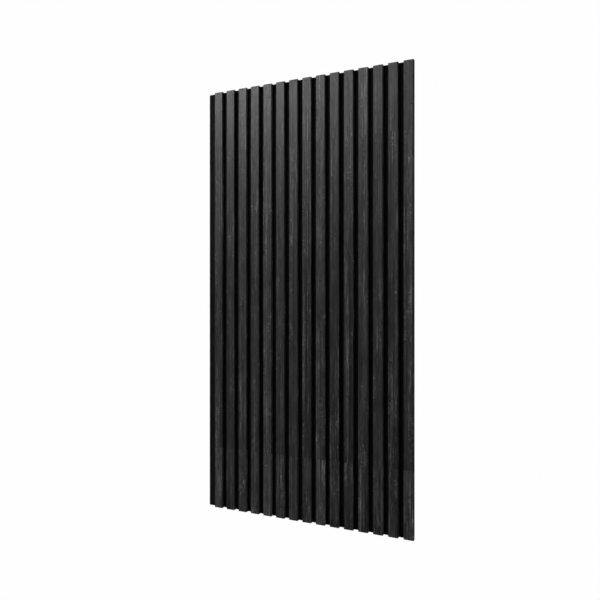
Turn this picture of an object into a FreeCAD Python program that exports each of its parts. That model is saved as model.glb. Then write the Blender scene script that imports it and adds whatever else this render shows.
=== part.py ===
import FreeCAD, Part
import Sketcher
import os

# Acoustic slat wall panel: upright veneered slats, glued and stapled to a sheet of felt.
# Millimetres. X runs along the width, Z is up, and the wall is behind the panel.
# The origin is the middle of the felt's back face; the slats face -Y.

doc = FreeCAD.newDocument("acoustic_slat_wall_panel")

# Driving dimensions
sizes = {
    "panel_height": 1200,       # felt and slats are cut to the same height
    "slat_count": 15,
    "slat_pitch": 40,           # middle of one slat to the middle of the next
    "slat_overhang": 9.8,       # the last slat stands over the edge of the next panel's felt
    "felt_thickness": 9,
    "core_width": 24.6,
    "core_depth": 10,
    "veneer_thickness": 0.4,
    "staples_per_slat": 5,
    "staple_end_distance": 80,  # from the end of a slat to its first staple
    "staple_crown": 12,         # outside length of a staple's crown, which lies along the slat
    "staple_wire": 0.9,         # side of its square wire
    "staple_recess": 0.4,       # the crown is pulled below the felt's back face
    "staple_bite": 5.4,         # depth of the legs in the core
}

sheet = doc.addObject("Spreadsheet::Sheet", "Sizes")
for row, (alias, value) in enumerate(sizes.items(), start=1):
    sheet.set(f"A{row}", alias)
    sheet.set(f"B{row}", str(value))
    sheet.setAlias(f"B{row}", alias)
doc.recompute()

# Dimensions that follow from the driving ones
felt_width = "Sizes.slat_count * Sizes.slat_pitch"
slat_width = "(Sizes.core_width + 2 * Sizes.veneer_thickness)"
last_slat_x = f"{felt_width} / 2 + Sizes.slat_overhang - {slat_width} / 2"
first_slat_x = f"{last_slat_x} - (Sizes.slat_count - 1) * Sizes.slat_pitch"
slat_row_length = "(Sizes.slat_count - 1) * Sizes.slat_pitch"
core_front = "-(Sizes.felt_thickness + Sizes.core_depth)"
slat_front = "-(Sizes.felt_thickness + Sizes.core_depth + Sizes.veneer_thickness)"
# Staples stand in the middle of the felt that the last slat covers, and alike on every slat
staple_from_middle = "Sizes.slat_overhang / 2"
first_staple_x = f"{first_slat_x} - {staple_from_middle}"
first_staple_z = "Sizes.staple_end_distance - Sizes.panel_height / 2"
staple_column_length = "Sizes.panel_height - 2 * Sizes.staple_end_distance"
leg_outside = "Sizes.staple_crown / 2"
leg_inside = "(Sizes.staple_crown / 2 - Sizes.staple_wire)"
half_wire = "Sizes.staple_wire / 2"

tolerance = 1e-6                # lengths closer than this are the same


def new_body(node):
    body = doc.addObject("PartDesign::Body", node)
    body.Label = node
    return body


def origin_feature(body, role):
    """The plane or axis of a body's own origin."""
    for feature in body.Origin.OriginFeatures:
        if feature.Role == role:
            return feature
    raise ValueError(role)


def new_sketch(body, name, plane, offset=None):
    """An empty sketch on one of the body's planes, moved along its normal by offset."""
    sketch = body.newObject("Sketcher::SketchObject", name)
    sketch.AttachmentSupport = (origin_feature(body, plane), [""])
    sketch.MapMode = "FlatFace"
    if offset:
        sketch.setExpression("AttachmentOffset.Base.z", offset)
    return sketch


def hold_corner(sketch, line, coordinate, number, expression):
    """Dimension the start of a line from the sketch's origin, along one axis."""
    start, origin = (line, 1), (-1, 1)
    if number < 0:
        ends, expression = start + origin, f"-({expression})"
    else:
        ends = origin + start
    index = sketch.addConstraint(Sketcher.Constraint(f"Distance{coordinate}", *ends, abs(number)))
    sketch.setExpression(f"Constraints[{index}]", expression)


def draw_outline(sketch, corners):
    """A closed outline through corners, each a pair of expressions, fully dimensioned."""
    points = [tuple(float(sketch.evalExpression(text)) for text in corner) for corner in corners]
    count = len(points)
    first = sketch.GeometryCount
    lines = [first + place for place in range(count)]
    for place, point in enumerate(points):
        end = points[(place + 1) % count]
        sketch.addGeometry(Part.LineSegment(FreeCAD.Vector(*point, 0), FreeCAD.Vector(*end, 0)))
    held = set()
    for place, line in enumerate(lines):
        following = (place + 1) % count
        sketch.addConstraint(Sketcher.Constraint("Coincident", line, 2, lines[following], 1))
        for axis, kind in ((0, "Vertical"), (1, "Horizontal")):
            if corners[place][axis] == corners[following][axis]:
                sketch.addConstraint(Sketcher.Constraint(kind, line))
                held.add((following, axis))
    for place, line in enumerate(lines):
        for axis, coordinate in ((0, "X"), (1, "Y")):
            if (place, axis) not in held:
                hold_corner(sketch, line, coordinate, points[place][axis], corners[place][axis])


def box_corners(left, right, low, high):
    return [(left, low), (right, low), (right, high), (left, high)]


def pad(body, sketch, length, both_ways=False):
    feature = body.newObject("PartDesign::Pad", sketch.Name + "_pad")
    feature.Profile = sketch
    feature.setExpression("Length", length)
    if both_ways:
        feature.SideType = "Symmetric"
    doc.recompute()
    return feature


def pocket(body, sketch, depth):
    """Cut from the sketch towards the front of the panel, and see that it cuts."""
    before = body.Shape.Volume
    feature = body.newObject("PartDesign::Pocket", sketch.Name + "_pocket")
    feature.Profile = sketch
    feature.Reversed = True
    feature.setExpression("Length", depth)
    doc.recompute()
    if not feature.Shape.Volume < before:
        raise ValueError(f"{feature.Name} cuts nothing")
    return feature


def round_folds(body, name):
    """Round the two upright edges at the front, where the veneer bends about the core's sharp edge."""
    base = body.Tip
    front = base.Shape.BoundBox.YMin
    folds = []
    for number, edge in enumerate(base.Shape.Edges, start=1):
        box = edge.BoundBox
        upright = box.ZLength > box.XLength + box.YLength
        if upright and box.YMax - front < tolerance:
            folds.append(f"Edge{number}")
    fillet = body.newObject("PartDesign::Fillet", name)
    fillet.Base = (base, folds)
    fillet.setExpression("Radius", "Sizes.veneer_thickness")
    doc.recompute()
    return fillet


def repeat_up(body, name, features):
    """Repeat features at every staple up one slat."""
    pattern = body.newObject("PartDesign::LinearPattern", name)
    pattern.Originals = features
    pattern.Direction = (origin_feature(body, "Z_Axis"), [""])
    pattern.setExpression("Length", staple_column_length)
    pattern.setExpression("Occurrences", "Sizes.staples_per_slat")
    body.Tip = pattern
    return pattern


def repeat_all(body, name, features):
    """Repeat features at every staple of every slat."""
    pattern = repeat_up(body, name, features)
    pattern.Direction2 = (origin_feature(body, "X_Axis"), [""])
    pattern.setExpression("Length2", slat_row_length)
    pattern.setExpression("Occurrences2", "Sizes.slat_count")
    return pattern


def draw_leg_holes(sketch, middle_x, middle_z):
    """The two square holes of one staple's legs."""
    left = f"{middle_x} - {half_wire}"
    right = f"{middle_x} + {half_wire}"
    lower_leg = (f"{middle_z} - {leg_outside}", f"{middle_z} - {leg_inside}")
    upper_leg = (f"{middle_z} + {leg_inside}", f"{middle_z} + {leg_outside}")
    draw_outline(sketch, box_corners(left, right, *lower_leg))
    draw_outline(sketch, box_corners(left, right, *upper_leg))


def make_felt_backing():
    """The sheet of felt, slit where each staple is pulled through it."""
    body = new_body("felt_backing")
    outline = new_sketch(body, "felt_outline", "XZ_Plane")
    half_width = f"{felt_width} / 2"
    half_height = "Sizes.panel_height / 2"
    draw_outline(outline, box_corners("-" + half_width, half_width, "-" + half_height, half_height))
    pad(body, outline, "Sizes.felt_thickness")

    crown = new_sketch(body, "crown_seat", "XZ_Plane")
    left = f"{first_staple_x} - {half_wire}"
    right = f"{first_staple_x} + {half_wire}"
    low = f"{first_staple_z} - {leg_outside}"
    high = f"{first_staple_z} + {leg_outside}"
    draw_outline(crown, box_corners(left, right, low, high))
    crown_seat = pocket(body, crown, "Sizes.staple_recess + Sizes.staple_wire")

    legs = new_sketch(body, "leg_slits", "XZ_Plane")
    draw_leg_holes(legs, first_staple_x, first_staple_z)
    leg_slits = pocket(body, legs, "Sizes.felt_thickness")
    repeat_all(body, "staple_slits", [crown_seat, leg_slits])
    return body


def place_on_slat(body, number):
    """Slats are numbered from the left, seen from the front."""
    place = f"{first_slat_x} + {number - 1} * Sizes.slat_pitch"
    body.setExpression("Placement.Base.x", place)


def make_slat_core(number):
    """The fibreboard strip inside a slat, with the holes that its staples make."""
    body = new_body(f"slat_core_{number:02d}")
    section = new_sketch(body, f"core_section_{number:02d}", "XY_Plane")
    half_width = "Sizes.core_width / 2"
    draw_outline(section, box_corners("-" + half_width, half_width, core_front, "-Sizes.felt_thickness"))
    pad(body, section, "Sizes.panel_height", both_ways=True)

    legs = new_sketch(body, f"leg_holes_{number:02d}", "XZ_Plane", offset="Sizes.felt_thickness")
    draw_leg_holes(legs, f"-{staple_from_middle}", first_staple_z)
    leg_holes = pocket(body, legs, "Sizes.staple_bite")
    repeat_up(body, f"staple_holes_{number:02d}", [leg_holes])
    place_on_slat(body, number)
    return body


def make_slat_veneer(number):
    """The veneer, folded round the front and both sides of a core."""
    body = new_body(f"slat_veneer_{number:02d}")
    section = new_sketch(body, f"veneer_section_{number:02d}", "XY_Plane")
    outside = f"{slat_width} / 2"
    inside = "Sizes.core_width / 2"
    back = "-Sizes.felt_thickness"
    draw_outline(section, [
        ("-" + outside, back),
        ("-" + outside, slat_front),
        (outside, slat_front),
        (outside, back),
        (inside, back),
        (inside, core_front),
        ("-" + inside, core_front),
        ("-" + inside, back),
    ])
    pad(body, section, "Sizes.panel_height", both_ways=True)
    round_folds(body, f"veneer_folds_{number:02d}")
    place_on_slat(body, number)
    return body


def make_staples():
    """Wire staples, driven from behind through the felt into the cores."""
    body = new_body("staples")
    section = new_sketch(body, "staple_section", "YZ_Plane")
    crown_back = "-Sizes.staple_recess"
    crown_front = "-(Sizes.staple_recess + Sizes.staple_wire)"
    tip = "-(Sizes.felt_thickness + Sizes.staple_bite)"
    tip_cut = "-(Sizes.felt_thickness + Sizes.staple_bite - Sizes.staple_wire)"
    draw_outline(section, [
        (crown_back, "-" + leg_outside),
        (tip, "-" + leg_outside),
        (tip_cut, "-" + leg_inside),
        (crown_front, "-" + leg_inside),
        (crown_front, leg_inside),
        (tip_cut, leg_inside),
        (tip, leg_outside),
        (crown_back, leg_outside),
    ])
    wire = pad(body, section, "Sizes.staple_wire", both_ways=True)
    repeat_all(body, "all_staples", [wire])
    body.setExpression("Placement.Base.x", first_staple_x)
    body.setExpression("Placement.Base.z", first_staple_z)
    return body


def check(pieces):
    """Stop if any feature failed or any piece is not a valid solid."""
    for item in doc.Objects:
        if "Invalid" in item.State or "Error" in item.State:
            raise ValueError(f"{item.Name} failed")
    for piece in pieces:
        shape = piece.Shape
        if shape.isNull() or not shape.isValid() or not shape.Solids:
            raise ValueError(f"{piece.Label} is not a valid solid")


slat_numbers = range(1, int(sheet.get("slat_count")) + 1)
pieces = [make_felt_backing()]
pieces += [make_slat_core(number) for number in slat_numbers]
pieces += [make_slat_veneer(number) for number in slat_numbers]
pieces.append(make_staples())
doc.recompute()
check(pieces)

os.makedirs("parts", exist_ok=True)
for piece in pieces:
    piece.Shape.exportStep(f"parts/{piece.Label}.step")
    print(piece.Label, len(piece.Shape.Solids), round(piece.Shape.Volume, 1))
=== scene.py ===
import math
import bpy
import numpy as np
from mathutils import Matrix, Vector


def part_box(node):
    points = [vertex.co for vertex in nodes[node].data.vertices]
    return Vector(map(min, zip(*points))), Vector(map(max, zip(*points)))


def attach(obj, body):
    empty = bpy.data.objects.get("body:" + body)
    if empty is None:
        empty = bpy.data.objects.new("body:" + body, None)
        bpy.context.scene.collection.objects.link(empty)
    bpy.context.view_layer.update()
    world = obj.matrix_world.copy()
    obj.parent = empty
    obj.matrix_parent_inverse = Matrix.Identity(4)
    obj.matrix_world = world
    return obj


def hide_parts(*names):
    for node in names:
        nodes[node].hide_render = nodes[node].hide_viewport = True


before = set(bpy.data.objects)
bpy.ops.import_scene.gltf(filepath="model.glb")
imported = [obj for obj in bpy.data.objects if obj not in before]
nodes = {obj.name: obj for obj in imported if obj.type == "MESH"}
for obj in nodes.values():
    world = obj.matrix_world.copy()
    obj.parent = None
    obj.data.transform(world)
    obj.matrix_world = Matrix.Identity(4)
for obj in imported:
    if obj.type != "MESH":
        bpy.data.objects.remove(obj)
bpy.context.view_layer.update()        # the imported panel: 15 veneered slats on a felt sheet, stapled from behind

veneerNames = sorted(name for name in nodes if name.startswith("slat_veneer"))
coreNames = sorted(name for name in nodes if name.startswith("slat_core"))
print("frame loaded:", len(nodes), "nodes")

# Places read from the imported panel, in metres
firstLow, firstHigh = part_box(veneerNames[0])
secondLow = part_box(veneerNames[1])[0]
feltLow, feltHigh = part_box("felt_backing")
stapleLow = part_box("staples")[0]
slatWidth = firstHigh.x - firstLow.x
slatPitch = secondLow.x - firstLow.x
slatCentre = (firstLow.x + firstHigh.x) / 2      # middle of the first slat
slatFront = firstLow.y
panelTop = feltHigh.z
tiny = 1e-6                                      # a smaller difference is only rounding


# Shader maths: a Shade wraps one socket, and sums of Shades add Math nodes

class Shade:
    def __init__(self, tree, socket=None):
        self.tree = tree
        self.socket = socket

    # any node: its type, the settings that come first, then values or links for its sockets
    def node(self, kind, settings, sockets, out=0):
        made = self.tree.nodes.new("ShaderNode" + kind)
        for name, value in settings.items():
            if name == "stops":
                fillRamp(made.color_ramp, value)
            else:
                setattr(made, name, value)
        for name, value in sockets.items():
            if isinstance(value, Shade):
                self.tree.links.new(value.socket, made.inputs[name])
            else:
                made.inputs[name].default_value = value
        return Shade(self.tree, made.outputs[out] if made.outputs else None)

    def other(self, out):                        # another output of the same node
        return Shade(self.tree, self.socket.node.outputs[out])

    def maths(self, operation, *values):         # a Math node that takes this socket first
        return self.node("Math", {"operation": operation}, dict(enumerate((self, *values))))

    def __add__(self, value):
        return self.maths("ADD", value)

    def __sub__(self, value):
        return self.maths("SUBTRACT", value)

    def __rsub__(self, value):
        return self.node("Math", {"operation": "SUBTRACT"}, {0: value, 1: self})

    def __mul__(self, value):
        return self.maths("MULTIPLY", value)

    def __truediv__(self, value):
        return self.maths("DIVIDE", value)

    def __rtruediv__(self, value):
        return self.node("Math", {"operation": "DIVIDE"}, {0: value, 1: self})

    __radd__ = __add__
    __rmul__ = __mul__

    def rise(self, low, high):                   # 0 below low, 1 above high, smooth between
        return self.node("MapRange", {"interpolation_type": "SMOOTHSTEP"},
                         {"Value": self, "From Min": low, "From Max": high})


def grey(tone):
    return (tone, tone, tone, 1)


def fillRamp(ramp, stops):
    while len(ramp.elements) < len(stops):
        ramp.elements.new(0.5)
    for element, (place, tone) in zip(ramp.elements, stops):
        element.position = place
        element.color = grey(tone)


def newSurface(name):
    material = bpy.data.materials.new(name)
    material.use_nodes = True
    material.node_tree.nodes.clear()
    return material, Shade(material.node_tree)


def pointOn(sheet):                              # where each point of the piece is, in metres
    place = sheet.node("TexCoord", {}, {}, "Object")
    x = sheet.node("SeparateXYZ", {}, {0: place})
    return x, x.other(1), x.other(2)


def cloud(sheet, across, along, around, detail=2.0, roughness=0.5):      # soft noise from 0 to 1
    place = sheet.node("CombineXYZ", {}, {0: across, 1: around, 2: along})
    return sheet.node("TexNoise", {}, {"Vector": place, "Scale": 1.0, "Detail": detail,
                                       "Roughness": roughness}, "Fac")


def swing(sheet, *place, **finer):               # the same noise, from -0.5 to 0.5
    return cloud(sheet, *place, **finer) - 0.5


def bumpFrom(sheet, height, strength, deepest):  # deepest is in metres
    return sheet.node("Bump", {}, {"Strength": strength, "Distance": deepest, "Height": height})


def closeSurface(sheet, sockets):
    shader = sheet.node("BsdfPrincipled", {}, sockets)
    sheet.node("OutputMaterial", {}, {"Surface": shader})


def wearOn(piece, material):
    piece.data.materials.clear()
    piece.data.materials.append(material)


# Camera, at the photograph's viewing angle

view = {
    "place": (0.698, -1.5026, 0.0),
    "turn": 25.28,               # degrees to the left of straight at the panel
    "lens": 36.35,
    "sensor": 36.0,
    "nearest": 0.05,             # metres that it sees from and to
    "farthest": 60,
}

cameraData = bpy.data.cameras.new("camera")
cameraData.lens = view["lens"]
cameraData.sensor_width = view["sensor"]
cameraData.clip_start = view["nearest"]
cameraData.clip_end = view["farthest"]
camera = bpy.data.objects.new("camera", cameraData)
camera.location = view["place"]
camera.rotation_euler = (math.pi / 2, 0, math.radians(view["turn"]))
bpy.context.scene.collection.objects.link(camera)
bpy.context.scene.camera = camera
bpy.context.scene.view_settings.view_transform = "Standard"
print("camera placed")


# Studio: a white surround that lights nothing, a dim room, a pale floor and soft boxes

studio = {
    "white": 0.99,               # what the camera sees round the panel
    "room": 0.02,                # what the panel sees of the same surround
    "floorDrop": 0.6,            # the panel hangs on a wall, this far above the floor
    "floorSize": 14.0,
}
softBoxes = {                    # place, aim, width, height, watts
    "boxAbove": ((-1.15, -1.7, 1.42), (-0.2, 0, 0.4), 1.8, 0.5, 22.4),
    "boxCorner": ((-1.15, -1.3, 1.2), (-0.2, 0, 0.6), 0.5, 0.5, 3.0),
    "boxNear": ((-0.5, -0.6, 1.15), (-0.1, 0, 0.6), 1.4, 0.3, 1.0),
    "boxMiddle": ((-0.8, -1.3, 0.5), (-0.1, 0, 0.25), 1.3, 0.35, 1.15),
    "boxFront": ((-0.9, -3.5, 0.0), (0, 0, 0), 3.0, 3.5, 6),
    "boxLeft": ((-2.2, -3.0, -0.2), (0, 0, 0), 2.0, 3.5, 6),
    "boxSide": ((-3.6, -1.2, 0.15), (0, 0, 0.05), 1.2, 4.3, 50),
    "boxLow": ((-1.2, -2.6, -1.3), (0, 0, -0.4), 2.4, 1.2, 0.7),
    "boxRight": ((1.12, -0.52, -0.05), (0.2, 0, -0.05), 0.4, 1.7, 7),
    "boxBehind": ((-1.6, 1.9, 1.2), (0, 0, 0), 1.2, 1.2, 150),
    "boxBehindLow": ((-0.5, 2.3, -0.9), (0, 0, 0), 1.2, 1.2, 40),
}

world = bpy.data.worlds.new("studio")
world.use_nodes = True
world.node_tree.nodes.clear()
room = Shade(world.node_tree)
seen = room.node("LightPath", {}, {}, "Is Camera Ray")
dim = room.node("Background", {}, {"Color": grey(1), "Strength": studio["room"]})
bright = room.node("Background", {}, {"Color": grey(1), "Strength": studio["white"]})
surround = room.node("MixShader", {}, {0: seen, 1: dim, 2: bright})
room.node("OutputWorld", {}, {"Surface": surround})
bpy.context.scene.world = world


def layFloor():
    half = studio["floorSize"] / 2
    low = -panelTop - studio["floorDrop"]
    corners = [(-half, -half, low), (half, -half, low), (half, half, low), (-half, half, low)]
    mesh = bpy.data.meshes.new("floor")
    mesh.from_pydata(corners, [], [(0, 1, 2, 3)])
    floor = bpy.data.objects.new("floor", mesh)
    bpy.context.scene.collection.objects.link(floor)
    material, sheet = newSurface("paleFloor")
    glow = sheet.node("Emission", {}, {"Color": grey(1), "Strength": studio["white"]})
    sheet.node("OutputMaterial", {}, {"Surface": glow})
    wearOn(floor, material)
    floor.visible_diffuse = False
    floor.visible_glossy = False
    floor.visible_shadow = False


def hangBox(name, place, aim, width, height, watts):
    light = bpy.data.lights.new(name, "AREA")
    light.shape = "RECTANGLE"
    light.size = width
    light.size_y = height
    light.energy = watts
    holder = bpy.data.objects.new(name, light)
    holder.location = place
    holder.rotation_mode = "QUATERNION"
    holder.rotation_quaternion = (Vector(aim) - Vector(place)).to_track_quat("-Z", "Y")
    holder.visible_camera = False
    bpy.context.scene.collection.objects.link(holder)


layFloor()
for name, box in softBoxes.items():
    hangBox(name, *box)
print("studio lit by", len(softBoxes), "soft boxes")


# Veneer: black-stained, brushed oak, its grain running up each slat and on round the folds

veneer = {
    "char": 0.0012,              # darkest and palest greys of the stain
    "bare": 0.30,
    "stain": 0.051,              # how far from char to bare the middle tone is
    "contrast": 0.62,            # how far the figure takes it either way
    "darkest": 0.1,              # dark figure stops at this share of the middle tone
    "power": 2.2,                # pale figure stands out more than dark
    "specular": 0.34,
    "clouds": {                  # how many in a metre across and up the slat, detail, roughness, shift
        "bands": (600, 1.3, 2.0, 0.6, 0.0),          # straight growth lines, which fade in and out
        "bandsShown": (300, 26, 2.0, 0.6, 3.1),
        "fibres": (1150, 3.0, 2.0, 0.6, 2.1),        # finer ones between them
        "fibresShown": (700, 60, 2.0, 0.6, 5.3),
        "lines": (170, 0.9, 3.0, 0.6, 1.3),          # broad, faint and long
        "lively": (42, 5, 2.0, 0.5, 25.3),           # where the figure is strong
        "pores": (2600, 110, 1.0, 0.5, 4.4),
        "blotches": (90, 14, 3.0, 0.55, 6.2),
        "rubbed": (90, 14, 3.0, 0.6, 15.1),          # places where the folds are worn paler
        "patches": (60, 14, 2.0, 0.5, 8.7),          # where cross checks gather
        "checks": (95, 230, 2.0, 0.6, 9.9),          # ray flecks, short and pale across the grain
        "dashes": (430, 75, 2.0, 0.6, 21.4),
        "flecks": (400, 60, 2.0, 0.5, 12.3),
        "cracks": (620, 11, 2.0, 0.5, 17.7),
    },
    "limits": {                  # the levels of a cloud between which a mark comes up
        "bandsShown": (0.36, 0.66),
        "fibresShown": (0.36, 0.66),
        "lively": (0.36, 0.64),
        "pores": (0.58, 0.70),
        "rubbed": (0.45, 0.75),
        "patches": (0.56, 0.64),
        "paleChecks": (0.56, 0.66),
        "darkChecks": (0.34, 0.44),
        "dashes": (0.54, 0.64),
        "paleFlecks": (0.65, 0.74),
        "darkFlecks": (0.25, 0.34),
        "cracks": (0.27, 0.36),
    },
    "tones": {                   # how much each mark lightens or darkens the stain
        "bands": 13.0, "fibres": 11.0, "lines": 2.7, "blotches": 2.7, "pores": 1.3, "cracks": 1.4,
        "paleFlecks": 1.7, "darkFlecks": 1.4, "paleChecks": 1.5, "darkChecks": 0.9, "dashes": 1.3,
        # the fold's amount darkens the stain with painted shade along each fold
        "knotRing": 0.5, "knotEye": 1.2, "rubbed": 0.5, "fold": 1.3, "joint": 0.8,
        "slats": 0.90,           # how much one slat differs from the next
    },
    "roughness": {
        "plain": 0.36, "bands": 0.3, "fibres": 0.3, "pores": 0.15, "paleChecks": 0.05,
        "darkChecks": 0.12, "fold": 0.5,
    },
    "relief": {                  # how high or deep each mark stands
        "bands": 0.9, "fibres": 0.9, "pores": 0.9, "paleChecks": 0.3, "darkChecks": 0.7,
        "knotRing": 0.3, "knotEye": 0.8, "joint": 1.0,
        "strength": 0.45, "deepest": 0.00025,
    },
    "knots": {                   # how many in a metre, which of them show, and their eye and ring
        "across": 46, "up": 30, "shown": (0.93, 0.94), "eye": (0.06, 0.14), "ring": (0.12, 0.34),
    },
    "drift": {"slats": 3.7, "up": 4, "reach": 0.0024},       # the grain wanders sideways, slowly
    "waver": {"across": 45, "up": 14, "reach": 0.0007},      # and round small figures
    "foldWidth": 0.0014,         # metres, the duller line along each fold, darkened with painted shade
    "foldDepth": (0.0003, 0.0012),                   # and how far it goes down the side
    "jointAt": 0.426,            # metres above and below the middle, where lengths of veneer meet
    "jointWidth": (0.0001, 0.0003),
    "topLength": (0.16, 0.42, 50463),    # how much paler than the middle length, how varied, seed
    "lowLength": (0.46, 0.80, 21626),
    "livelyLeast": 0.48,         # how strong the figure is in its quiet areas
    "topQuiet": 0.24,            # how much quieter it is in the top length
    "topPale": 0.5,              # and how much fainter its pale marks are
    "seeds": {"slat": 7.31, "start": 11.3, "top": 2.7, "low": 3.9, "tone": 2041},
}


def makeVeneer():
    material, sheet = newSurface("stainedOakVeneer")
    x, y, z = pointOn(sheet)
    limits = veneer["limits"]
    seeds = veneer["seeds"]

    # which slat this is, and how far round it from the middle of its front
    number = ((x - (slatCentre - slatPitch / 2)) / slatPitch).maths("FLOOR")
    fromMiddle = x - slatCentre - number * slatPitch
    wrapped = fromMiddle + fromMiddle.maths("SIGN") * (y - slatFront)

    # each slat carries three lengths of veneer, with a hairline where they meet
    onTop = z.maths("GREATER_THAN", veneer["jointAt"])
    below = z.maths("LESS_THAN", -veneer["jointAt"])
    fromJoint = (z.maths("ABSOLUTE") - veneer["jointAt"]).maths("ABSOLUTE")
    joint = 1 - fromJoint.rise(*veneer["jointWidth"])

    seed = number * seeds["slat"] + seeds["start"] + onTop * seeds["top"] + below * seeds["low"]
    drift = swing(sheet, number * veneer["drift"]["slats"], z * veneer["drift"]["up"], 0.5)
    waver = swing(sheet, wrapped * veneer["waver"]["across"], z * veneer["waver"]["up"], seed)
    fromGrain = wrapped + drift * veneer["drift"]["reach"] + waver * veneer["waver"]["reach"]

    def layer(name):
        across, up, detail, roughness, shift = veneer["clouds"][name]
        return cloud(sheet, fromGrain * across, z * up, seed + shift, detail, roughness)

    def shown(name):
        return layer(name).rise(*limits[name])

    bands = (layer("bands") - 0.5) * shown("bandsShown")
    fibres = (layer("fibres") - 0.5) * shown("fibresShown")
    lines = layer("lines") - 0.5
    blotches = layer("blotches") - 0.5
    lively = shown("lively") + veneer["livelyLeast"] - onTop * veneer["topQuiet"]
    quiet = 1 - onTop * veneer["topPale"]
    pores = shown("pores")
    cracks = 1 - shown("cracks")
    patches = shown("patches")
    dashes = patches * shown("dashes")
    checks = layer("checks")
    paleChecks = patches * checks.rise(*limits["paleChecks"])
    darkChecks = patches * (1 - checks.rise(*limits["darkChecks"]))
    flecks = layer("flecks")
    paleFlecks = flecks.rise(*limits["paleFlecks"])
    darkFlecks = 1 - flecks.rise(*limits["darkFlecks"])

    knots = veneer["knots"]
    knotPlace = sheet.node("CombineXYZ", {}, {0: fromGrain * knots["across"], 1: seed,
                                              2: z * knots["up"]})
    fromKnot = sheet.node("TexVoronoi", {"feature": "F1", "voronoi_dimensions": "3D"},
                          {"Vector": knotPlace, "Scale": 1.0})
    chosen = sheet.node("SeparateXYZ", {}, {0: fromKnot.other("Color")}).rise(*knots["shown"])
    knotEye = chosen * (1 - fromKnot.rise(*knots["eye"]))
    knotRing = chosen * (1 - fromKnot.rise(*knots["ring"])) - knotEye

    edge = fromMiddle.maths("ABSOLUTE").rise(slatWidth / 2 - veneer["foldWidth"], slatWidth / 2)
    rubbed = edge * shown("rubbed")
    # painted shade along each fold, darkening the stain there; the same mask makes the fold rougher
    fold = edge * (1 - (y - slatFront).rise(*veneer["foldDepth"]))

    def drawn(start):                            # one number for each slat, from -0.5 to 0.5
        return sheet.node("TexWhiteNoise", {"noise_dimensions": "1D"}, {"W": number + start}) - 0.5

    def lengthTone(name):
        paler, varied, start = veneer[name]
        return drawn(start) * varied + paler

    tones = veneer["tones"]
    figure = (bands * tones["bands"] + fibres * tones["fibres"] + paleFlecks * tones["paleFlecks"] * quiet
              - darkFlecks * tones["darkFlecks"] - cracks * tones["cracks"] - pores * tones["pores"])
    rays = (paleChecks * tones["paleChecks"] + dashes * tones["dashes"]) * quiet
    rays = rays - darkChecks * tones["darkChecks"]
    lengths = onTop * lengthTone("topLength") + below * lengthTone("lowLength")
    depth = (figure * lively + rays + lines * tones["lines"] + blotches * tones["blotches"]
             + drawn(seeds["tone"]) * tones["slats"] + lengths
             + knotRing * tones["knotRing"] - knotEye * tones["knotEye"]
             + rubbed * tones["rubbed"] - fold * tones["fold"] - joint * tones["joint"])
    stained = (depth * veneer["contrast"] + 1).maths("MAXIMUM", veneer["darkest"])
    amount = stained.maths("POWER", veneer["power"]) * veneer["stain"]
    colour = sheet.node("Mix", {"data_type": "RGBA"},
                        {0: amount, 6: grey(veneer["char"]), 7: grey(veneer["bare"])}, 2)

    rough = veneer["roughness"]
    roughness = (rough["plain"] + bands * rough["bands"] + fibres * rough["fibres"]
                 + pores * rough["pores"] + darkChecks * rough["darkChecks"]
                 - paleChecks * rough["paleChecks"] + fold * rough["fold"])

    relief = veneer["relief"]
    height = (bands * relief["bands"] + fibres * relief["fibres"] - pores * relief["pores"]
              - darkChecks * relief["darkChecks"] + paleChecks * relief["paleChecks"]
              - knotEye * relief["knotEye"] + knotRing * relief["knotRing"] - joint * relief["joint"])
    bump = bumpFrom(sheet, height, relief["strength"], relief["deepest"])
    closeSurface(sheet, {"Base Color": colour, "Roughness": roughness, "Normal": bump,
                         "Specular IOR Level": veneer["specular"]})
    return material


stainedOak = makeVeneer()
for name in veneerNames:
    wearOn(nodes[name], stainedOak)
print("veneer on", len(veneerNames), "slats")


# Cores: fibreboard dyed black right through, seen at the slats' cut ends

core = {
    "dark": 0.003,
    "pale": 0.055,
    "chips": (700, 1120),        # in a metre of the cut end, and from front to back
    "clumps": (190, 380),
    "sawn": (1300, 40, 45),      # saw marks in a metre across, up and from front to back
    "faces": (0.00182, 0.0052),  # metres from the middle of the board to its dense faces
    "tones": {"middle": 0.46, "chips": 2.6, "clumps": 1.2, "sawn": 1.0, "dense": 0.16},
    "roughness": (0.72, 0.3),    # the middle one, and how much the chips change it
    "relief": {"strength": 0.6, "deepest": 0.0003, "sawn": 0.6},
    "specular": 0.35,
}


def makeCoreBoard():
    material, sheet = newSurface("dyedFibreboard")
    x, y, z = pointOn(sheet)
    size, sizeBack = core["chips"]
    chips = cloud(sheet, x * size, z * size, y * sizeBack, detail=4.0, roughness=0.65)
    size, sizeBack = core["clumps"]
    clumps = cloud(sheet, x * size, z * size, y * sizeBack)
    across, up, back = core["sawn"]
    sawn = cloud(sheet, x * across, z * up, y * back, roughness=0.6)
    fromMiddle = (y - (firstLow.y + feltLow.y) / 2).maths("ABSOLUTE")
    dense = fromMiddle.rise(*core["faces"])

    tones = core["tones"]
    tone = (tones["middle"] + (chips - 0.5) * tones["chips"] + (clumps - 0.5) * tones["clumps"]
            + (sawn - 0.5) * tones["sawn"] - dense * tones["dense"])
    colour = sheet.node("ValToRGB", {"stops": [(0.0, core["dark"]), (1.0, core["pale"])]}, {0: tone})
    plain, change = core["roughness"]
    relief = core["relief"]
    bump = bumpFrom(sheet, chips + sawn * relief["sawn"], relief["strength"], relief["deepest"])
    closeSurface(sheet, {"Base Color": colour, "Roughness": plain + (chips - 0.5) * change,
                         "Normal": bump, "Specular IOR Level": core["specular"]})
    return material


dyedBoard = makeCoreBoard()
for name in coreNames:
    wearOn(nodes[name], dyedBoard)
print("fibreboard in", len(coreNames), "cores")


# Staples: bright galvanised wire, half sunk in the felt

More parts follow.
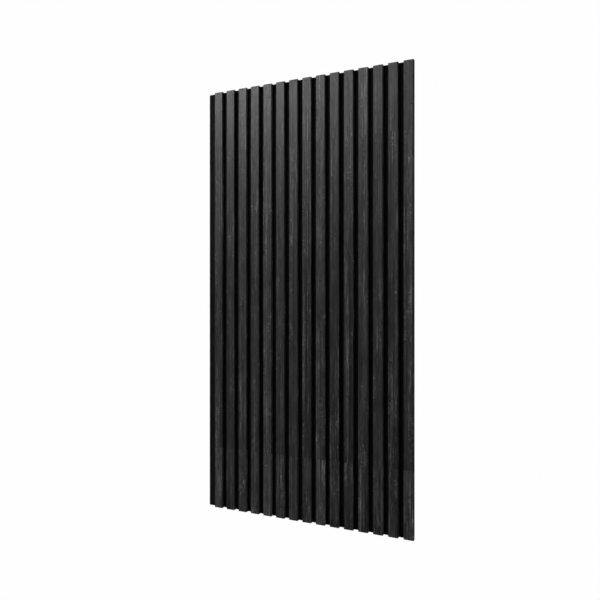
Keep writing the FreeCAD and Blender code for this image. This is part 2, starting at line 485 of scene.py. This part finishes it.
staple = {
    "dull": (0.2, 0.17),         # place on the ramp, and grey
    "zinc": (0.8, 0.40),
    "spangle": 1500,             # in a metre
    "scores": (9000, 300),       # die scores in a metre round the wire, and along it
    "tones": {"middle": 0.5, "spangle": 1.2, "scores": 0.5},
    "roughness": (0.42, 0.4),    # the middle one, and how much the spangle changes it
    "relief": {"strength": 0.3, "deepest": 0.00005},
    "bend": 0.00022,             # metres, rounding along the wire
    "bendSteps": 2,
}


def makeWire():
    material, sheet = newSurface("galvanisedWire")
    x, y, z = pointOn(sheet)
    size = staple["spangle"]
    spangle = swing(sheet, x * size, z * size, y * size, detail=3.0, roughness=0.6)
    around, along = staple["scores"]
    scores = swing(sheet, x * around, z * along, y * around, roughness=0.6)
    tones = staple["tones"]
    tone = tones["middle"] + spangle * tones["spangle"] + scores * tones["scores"]
    colour = sheet.node("ValToRGB", {"stops": [staple["dull"], staple["zinc"]]}, {0: tone})
    plain, change = staple["roughness"]
    bump = bumpFrom(sheet, scores, staple["relief"]["strength"], staple["relief"]["deepest"])
    closeSurface(sheet, {"Base Color": colour, "Metallic": 1.0, "Roughness": plain + spangle * change,
                         "Normal": bump})
    return material


wearOn(nodes["staples"], makeWire())
rounding = nodes["staples"].modifiers.new("rounding", "BEVEL")
rounding.width = staple["bend"]
rounding.segments = staple["bendSteps"]
print("staples finished")


# Felt: needled black fibre, pressed flat under the slats, pulled in round each staple

felt = {
    "round": 0.0003,             # metres, soft edge of the cut sheet
    "roundTurns": (30, 60, 90),  # degrees, the lines round it
    "sideLines": (0.36, 0.66),   # lines on the cut side, as shares of the thickness
    "cornerReach": 0.75,         # how far the corners come, beside the straight edges
    "ragged": 0.00008,
    "bulge": 0.00025,            # how far it stands up in the open gaps
    "bulgePower": 0.6,
    "bulgeLeast": 0.7,
    "bulgeEdge": 0.003,          # metres before the first slat in which it comes up
    "uneven": 0.00018,
    "backLumps": [(3, 0.019, 0.5), (4, 0.007, 0.5)],     # random seed, size in metres, share
    "frontLumps": [(5, 0.011, 0.4), (6, 0.005, 0.4)],
    "raggedSeed": 9,
    "pull": (0.00078, 0.0030),   # metres deep and wide, close to each staple
    "dish": (0.00045, 0.0100),   # and further round it
    "wire": 0.0009,              # the staples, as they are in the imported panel
    "crown": 0.012,
    "rows": 5,
    "rowEnd": 0.080,             # first and last staple from the panel's ends
    "widestColumn": 0.006,       # metres between lines of the mesh, at most
    "widestRow": 0.0125,
    "nearestLine": 0.0006,       # and from its edge to the next line, at least
    # mesh lines from each staple's middle, in millimetres across and up
    "columnLines": [-10, -7.8, -4.5, -2.2, -0.9, 0, 0.9, 2.2, 4.5, 8, 12.6, 17.6, 19.5, 22.3, 25.5, 28],
    "rowLines": [0, 4, 6, 7, 8.5, 11, 16],
    "greys": [(0.0, 0.0016), (0.6, 0.0085), (1.0, 0.045)],       # dark, pale and stray fibres
    "hairs": (2600, 420, 1500),  # in a metre across them, along them and in depth
    "bends": (260, 9),           # bends of the hairs in a metre, and their reach
    "clumps": 90,
    "wads": 28,
    "strands": (420, 650, 930),  # curved fibres on the surface, in a metre
    "strandThin": 10,
    "strandPlaces": (420, 0.36, 0.62),       # where they show: in a metre, and the cloud's levels
    "pressedShadeWide": (0.0008, 0.0065),         # metres from the wire where the felt is darkened, partly as pressed fibre and partly as painted shade in the dimple
    "pressedShadeDeep": (-0.004, -0.001),
    # the pressed amount darkens the felt round each staple, partly as painted shade in the dimple
    "tones": {"middle": 0.30, "mat": 1.7, "clumps": 0.6, "wads": 0.5, "web": 0.22, "pressedAndPaintedShade": 0.28},
    "relief": {"mat": 0.8, "clumps": 0.8, "wads": 0.8, "web": 0.5, "strength": 0.8, "deepest": 0.0005},
    "roughness": (0.88, 0.15),   # the middle one, and how much the clumps change it
    "specular": 0.05,
    "sheen": 0.02,
    "sheenRoughness": 0.6,
}
firstColumn = stapleLow.x + felt["wire"] / 2     # middles of the staples
firstRow = felt["rowEnd"] - panelTop
rowStep = 2 * (panelTop - felt["rowEnd"]) / (felt["rows"] - 1)


def gridLines(centres, offsets, low, high, widest):
    inner = felt["nearestLine"]
    lines = {low, high}
    for centre in centres:
        places = [centre + offset for offset in offsets]
        lines |= {place for place in places if low + inner < place < high - inner}
    lines = sorted(lines)
    filled = [lines[0]]
    for line in lines[1:]:
        start = filled[-1]
        steps = max(1, math.ceil((line - start) / widest - tiny))
        filled += [start + (line - start) * step / steps for step in range(1, steps + 1)]
    return np.array(filled)


def eased(part):                                 # from 0 to 1, level at both ends
    return part * part * (3 - 2 * part)


# smooth random heights from -1 to 1, on a grid of cells of that size
def unevenness(seed, xs, zs, cell):
    draws = np.random.default_rng(seed)
    wide = int((xs[-1] - xs[0]) / cell) + 3
    tall = int((zs[-1] - zs[0]) / cell) + 3
    heights = draws.uniform(-1, 1, (wide, tall))
    cellsX = (xs - xs[0]) / cell
    cellsZ = (zs - zs[0]) / cell
    i = cellsX.astype(int)
    j = cellsZ.astype(int)
    partX = eased(cellsX - i)[:, None]
    partZ = eased(cellsZ - j)[None, :]
    near = heights[i][:, j] * (1 - partZ) + heights[i][:, j + 1] * partZ
    far = heights[i + 1][:, j] * (1 - partZ) + heights[i + 1][:, j + 1] * partZ
    return near * (1 - partX) + far * partX


def lumps(layers, xs, zs):
    total = 0
    for seed, cell, share in layers:
        total = total + unevenness(seed, xs, zs, cell) * share
    return total


def backFace(gridX, gridZ, xs, zs, columns, rows):
    toColumn = np.abs(gridX[:, :, None] - np.array(columns)).min(axis=2)
    toRow = np.abs(gridZ[:, :, None] - np.array(rows)).min(axis=2)
    toWire = np.hypot(toColumn, np.maximum(toRow - felt["crown"] / 2, 0))
    back = feltHigh.y - felt["uneven"] + lumps(felt["backLumps"], xs, zs) * felt["uneven"]
    for depth, width in (felt["pull"], felt["dish"]):
        back = back - depth * np.exp(-(toWire / width) ** 2)
    return np.minimum(back, feltHigh.y)


def frontFace(gridX, xs, zs):
    inPitch = np.mod(gridX - (slatCentre + slatWidth / 2), slatPitch)
    gap = slatPitch - slatWidth
    free = np.clip(inPitch / gap, 0, 1)
    free = np.where(inPitch > gap, 0, np.sin(np.pi * free) ** felt["bulgePower"])
    beforeFirst = gridX < firstLow.x - tiny
    free = np.where(beforeFirst, np.clip((firstLow.x - gridX) / felt["bulgeEdge"], 0, 1), free)
    return feltLow.y - free * felt["bulge"] * (felt["bulgeLeast"] + lumps(felt["frontLumps"], xs, zs))


def makeFeltMesh():
    soft = felt["round"]
    columns = [firstColumn + slatPitch * number for number in range(len(veneerNames))]
    rows = [firstRow + rowStep * row for row in range(felt["rows"])]
    offsetsX = [offset / 1000 for offset in felt["columnLines"]]
    offsetsZ = sorted({sign * offset / 1000 for offset in felt["rowLines"] for sign in (-1, 1)})
    xs = gridLines(columns, offsetsX, feltLow.x + soft, feltHigh.x - soft, felt["widestColumn"])
    zs = gridLines(rows, offsetsZ, feltLow.z + soft, feltHigh.z - soft, felt["widestRow"])
    gridX, gridZ = np.meshgrid(xs, zs, indexing="ij")
    back = backFace(gridX, gridZ, xs, zs, columns, rows)
    front = frontFace(gridX, xs, zs)

    # back and front, each a grid of four-cornered faces
    points = list(zip(gridX.ravel(), back.ravel(), gridZ.ravel()))
    points += zip(gridX.ravel(), front.ravel(), gridZ.ravel())
    faces = []
    wide = len(xs)
    tall = len(zs)
    perSide = wide * tall
    for i in range(wide - 1):
        for j in range(tall - 1):
            corner = i * tall + j
            faces.append((corner, corner + 1, corner + tall + 1, corner + tall))
            corner += perSide
            faces.append((corner, corner + tall, corner + tall + 1, corner + 1))

    # rings of points round the cut edge, from the back to the front
    rim = [(i, 0) for i in range(wide - 1)]
    rim += [(wide - 1, j) for j in range(tall - 1)]
    rim += [(i, tall - 1) for i in range(wide - 1, 0, -1)]
    rim += [(0, j) for j in range(tall - 1, 0, -1)]
    profile = [(math.sin(turn), math.cos(turn)) for turn in np.radians(felt["roundTurns"])]
    thickness = feltHigh.y - feltLow.y
    rings = [(out, lambda i, j, up=up: back[i, j] - soft * (1 - up)) for out, up in profile]
    for share in felt["sideLines"]:
        rings.append((1.0, lambda i, j, share=share: feltHigh.y - thickness * share))
    rings += [(out, lambda i, j, up=up: front[i, j] + soft * (1 - up)) for out, up in reversed(profile)]
    draws = np.random.default_rng(felt["raggedSeed"])
    ringStarts = []
    for out, height in rings:
        ringStarts.append(len(points))
        ragged = draws.uniform(-1, 1, len(rim)) * felt["ragged"]
        for (i, j), jag in zip(rim, ragged):
            sideX = {0: -1, wide - 1: 1}.get(i, 0)
            sideZ = {0: -1, tall - 1: 1}.get(j, 0)
            reach = soft * out - (abs(jag) if out == 1 else 0)
            if sideX and sideZ:
                reach *= felt["cornerReach"]
            points.append((xs[i] + sideX * reach, height(i, j), zs[j] + sideZ * reach))
    backRim = [i * tall + j for i, j in rim]
    frontRim = [perSide + index for index in backRim]
    loops = [backRim] + [list(range(start, start + len(rim))) for start in ringStarts] + [frontRim]
    for upper, lower in zip(loops, loops[1:]):
        for place in range(len(rim)):
            after = (place + 1) % len(rim)
            faces.append((upper[place], upper[after], lower[after], lower[place]))

    mesh = bpy.data.meshes.new("felt_sheet")
    mesh.from_pydata(points, [], faces)
    mesh.validate()
    mesh.polygons.foreach_set("use_smooth", [True] * len(mesh.polygons))
    mesh.update()
    piece = bpy.data.objects.new("felt_sheet", mesh)
    bpy.context.scene.collection.objects.link(piece)
    return piece


# 1 where the felt is pressed by a staple's wire, 0 away from it: this mask darkens the felt, partly as pressed
# fibre and partly as painted shade in the dimple
def pressedAndShadedByWire(x, y, z):
    fromColumn = (((x - firstColumn) / slatPitch + 0.5).maths("FRACT") - 0.5) * slatPitch
    fromRow = (((z - firstRow) / rowStep + 0.5).maths("FRACT") - 0.5) * rowStep
    pastCrown = (fromRow.maths("ABSOLUTE") - felt["crown"] / 2).maths("MAXIMUM", 0)
    fromWire = (fromColumn * fromColumn + pastCrown * pastCrown).maths("SQRT")
    return (1 - fromWire.rise(*felt["pressedShadeWide"])) * y.rise(*felt["pressedShadeDeep"])


def makeFelt():
    material, sheet = newSurface("needledFelt")
    x, y, z = pointOn(sheet)
    size, reach = felt["bends"]
    bend = swing(sheet, x * size, z * size, y * size) * reach
    across, along, deep = felt["hairs"]
    upright = cloud(sheet, x * across + bend, z * along, y * deep, detail=3.0, roughness=0.6)
    level = cloud(sheet, x * along, z * across + bend, y * deep + 5.0, detail=3.0, roughness=0.6)
    mat = upright.maths("MAXIMUM", level)
    size = felt["clumps"]
    clumps = cloud(sheet, x * size, z * size, y * size, detail=3.0, roughness=0.6)
    size = felt["wads"]
    wads = cloud(sheet, x * size, z * size, y * size, detail=3.0, roughness=0.55)

    # a thin line where a soft cloud crosses its middle, each strand in a cloud of its own
    def strand(turn, size):
        height = swing(sheet, x * size + turn * 3.1, z * size, y * size - turn * 5.3, detail=1.0)
        return (1 - height.maths("ABSOLUTE") * felt["strandThin"]).rise(0, 1)

    web, *finer = [strand(turn, size) for turn, size in enumerate(felt["strands"])]
    for line in finer:
        web = web.maths("MAXIMUM", line)
    size, low, high = felt["strandPlaces"]
    web = web * cloud(sheet, x * size, z * size + 7.7, y * size).rise(low, high)

    tones = felt["tones"]
    # painted shade in the staple dimples, with some darkening of the pressed fibre
    pressedAndPaintedShade = pressedAndShadedByWire(x, y, z)
    tone = (tones["middle"] + (mat - 0.5) * tones["mat"] + (clumps - 0.5) * tones["clumps"]
            + (wads - 0.5) * tones["wads"] + web * tones["web"] - pressedAndPaintedShade * tones["pressedAndPaintedShade"])
    colour = sheet.node("ValToRGB", {"stops": felt["greys"]}, {0: tone})
    relief = felt["relief"]
    height = (mat * relief["mat"] + clumps * relief["clumps"] + wads * relief["wads"]
              + web * relief["web"])
    bump = bumpFrom(sheet, height, relief["strength"], relief["deepest"])
    plain, change = felt["roughness"]
    closeSurface(sheet, {"Base Color": colour, "Roughness": plain + (clumps - 0.5) * change,
                         "Normal": bump, "Specular IOR Level": felt["specular"],
                         "Sheen Weight": felt["sheen"], "Sheen Roughness": felt["sheenRoughness"]})
    return material


feltSheet = makeFeltMesh()
wearOn(feltSheet, makeFelt())
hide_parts("felt_backing")
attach(feltSheet, "root")
print("felt sheet made:", len(feltSheet.data.polygons), "faces")


bpy.context.view_layer.update()
